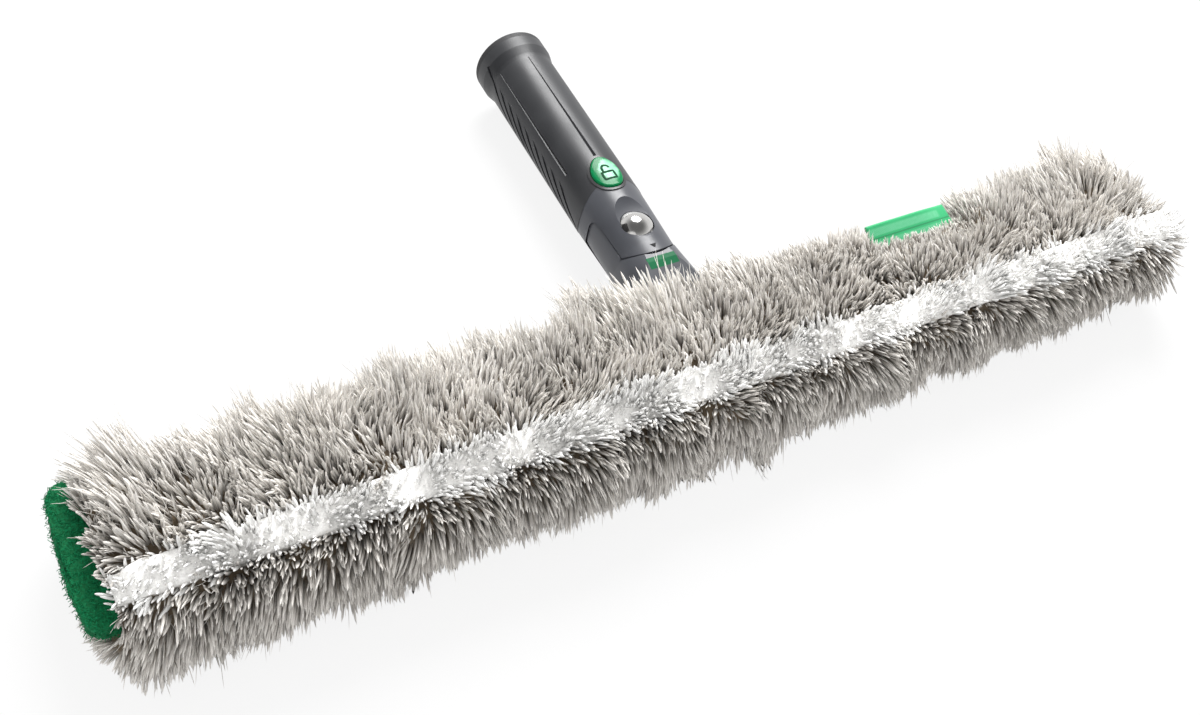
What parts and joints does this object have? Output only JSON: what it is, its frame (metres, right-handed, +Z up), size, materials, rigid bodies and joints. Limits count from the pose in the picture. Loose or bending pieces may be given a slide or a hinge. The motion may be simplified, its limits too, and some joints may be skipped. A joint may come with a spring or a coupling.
{
  "type": "window scrubber",
  "caption": "T-shaped window scrubber: a bar in a furry washing sleeve with a scouring pad at one end, on a swivelling handle with a lock, a pole socket and a release.",
  "frame": {"origin": "under the bar's middle, on the surface that the sleeve rests on", "axes": "+X along the bar, away from the end with the pad; +Y along the handle to its open end; +Z up"},
  "size_m": [0.5482, 0.254, 0.058],
  "materials": {
    "bar_metal": "extruded, satin",
    "dark_plastic": "fine grain",
    "grey_plastic": "satin",
    "plain_steel": "plain",
    "polished_steel": "polished",
    "green_plastic": "satin gloss",
    "bearing_plastic": "plain",
    "base_cloth": "knitted backing",
    "closure_tape": "hook and loop",
    "label_cloth": "plain weave",
    "scouring_pad": "fibrous",
    "grey_pile": "long pile",
    "pale_pile": "long pile",
    "grip_rubber": "soft satin"
  },
  "bodies": {
    "bar": {"crossbar": "bar_metal", "end_cap_left": "dark_plastic", "end_cap_right": "dark_plastic", "neck": "grey_plastic", "neck_screws": "plain_steel", "badge_plate": "green_plastic", "pivot_bush": "bearing_plastic", "friction_washers": "bearing_plastic", "sleeve_cloth": "base_cloth", "closure_loop_strip": "closure_tape", "closure_hook_strip": "closure_tape", "closure_flap": "base_cloth", "label_tag": "label_cloth", "scrub_pad": "scouring_pad", "pile_grey": "grey_pile", "pile_white_stripe": "pale_pile"},
    "handle": {"swivel_head": "grey_plastic", "rear_cap": "grey_plastic", "pivot_tube": "plain_steel", "lock_spring": "plain_steel", "socket_tube": "dark_plastic", "grip": "grip_rubber", "end_ring": "dark_plastic", "button_frame": "dark_plastic", "button_spring": "plain_steel"},
    "release_button": {"release_button": "green_plastic"},
    "swivel_lock": {"lock_button": "polished_steel", "retaining_ring": "plain_steel"}
  },
  "joints": [
    {"name": "swivel", "type": "hinge", "parent": "bar", "child": "handle", "pos_m": [0, 0.0755, 0.025], "axis": [0, 0, 1], "range_deg": [-60, 60]},
    {"name": "release_press", "type": "slide", "parent": "handle", "child": "release_button", "axis": [0, 0, -1], "range_m": [0, 0.002], "stiffness_N_per_m": 600, "springref_m": -0.003, "deforming": ["button_spring"]},
    {"name": "lock_press", "type": "slide", "parent": "handle", "child": "swivel_lock", "axis": [0, 0, -1], "range_m": [0, 0.002], "stiffness_N_per_m": 800, "springref_m": -0.004, "deforming": ["lock_spring"]}
  ]
}
